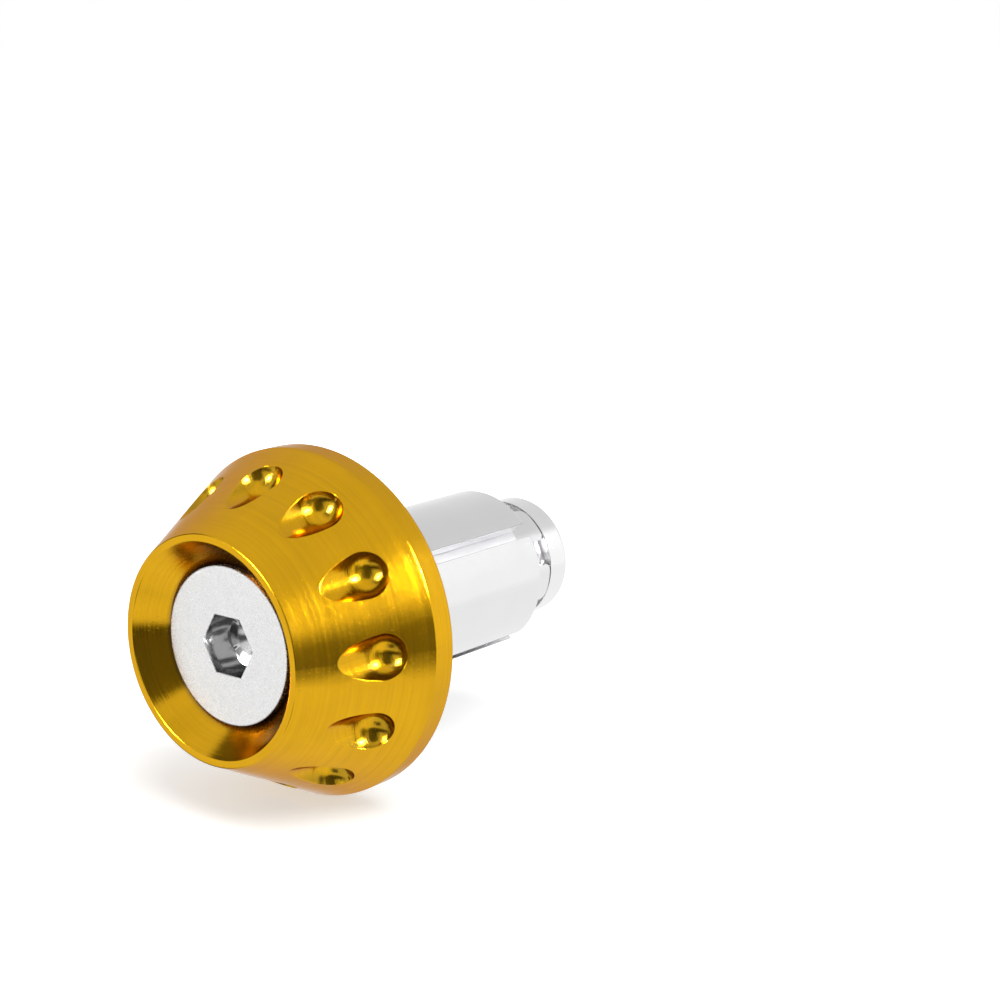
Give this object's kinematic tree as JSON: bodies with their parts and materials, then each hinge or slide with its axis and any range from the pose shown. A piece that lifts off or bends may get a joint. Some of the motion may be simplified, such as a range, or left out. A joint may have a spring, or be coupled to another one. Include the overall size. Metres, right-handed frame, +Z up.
{
  "type": "bar end weight",
  "caption": "Round anodised weight for the end of a handlebar, with scooped dimples, a countersunk screw and a split expanding plug that grips inside the tube.",
  "frame": {"origin": "on the axis, where the back of the washer meets the end of the handlebar", "axes": "+Y along the axis towards the plug and into the bar, -Y out of the nose, +Z up, +X across"},
  "size_m": [0.0364, 0.0498, 0.0364],
  "materials": {
    "gold_anodised": "gloss gold anodised, turned",
    "washer_white": "satin white",
    "bright_aluminium": "satin turned",
    "zinc_steel": "bright zinc plated",
    "stainless_steel": "satin stainless"
  },
  "bodies": {
    "head": {"weight_head": "gold_anodised", "seat_washer": "washer_white", "split_sleeve": "bright_aluminium", "finger_collet": "bright_aluminium"},
    "screw": {"flat_screw": "stainless_steel"},
    "nut": {"wedge_nut": "zinc_steel"}
  },
  "joints": [
    {"name": "screw_turn", "type": "hinge", "parent": "head", "child": "screw", "pos_m": [0, 0, 0], "axis": [0, -1, 0], "range_deg": [-115, 1440]},
    {"name": "nut_draw", "type": "slide", "parent": "head", "child": "nut", "axis": [0, 1, 0], "range_m": [-0.0004, 0.005]}
  ],
  "couplings": [
    {"joint": "nut_draw", "follows": "screw_turn", "m_per_rad": 0.00019894}
  ]
}
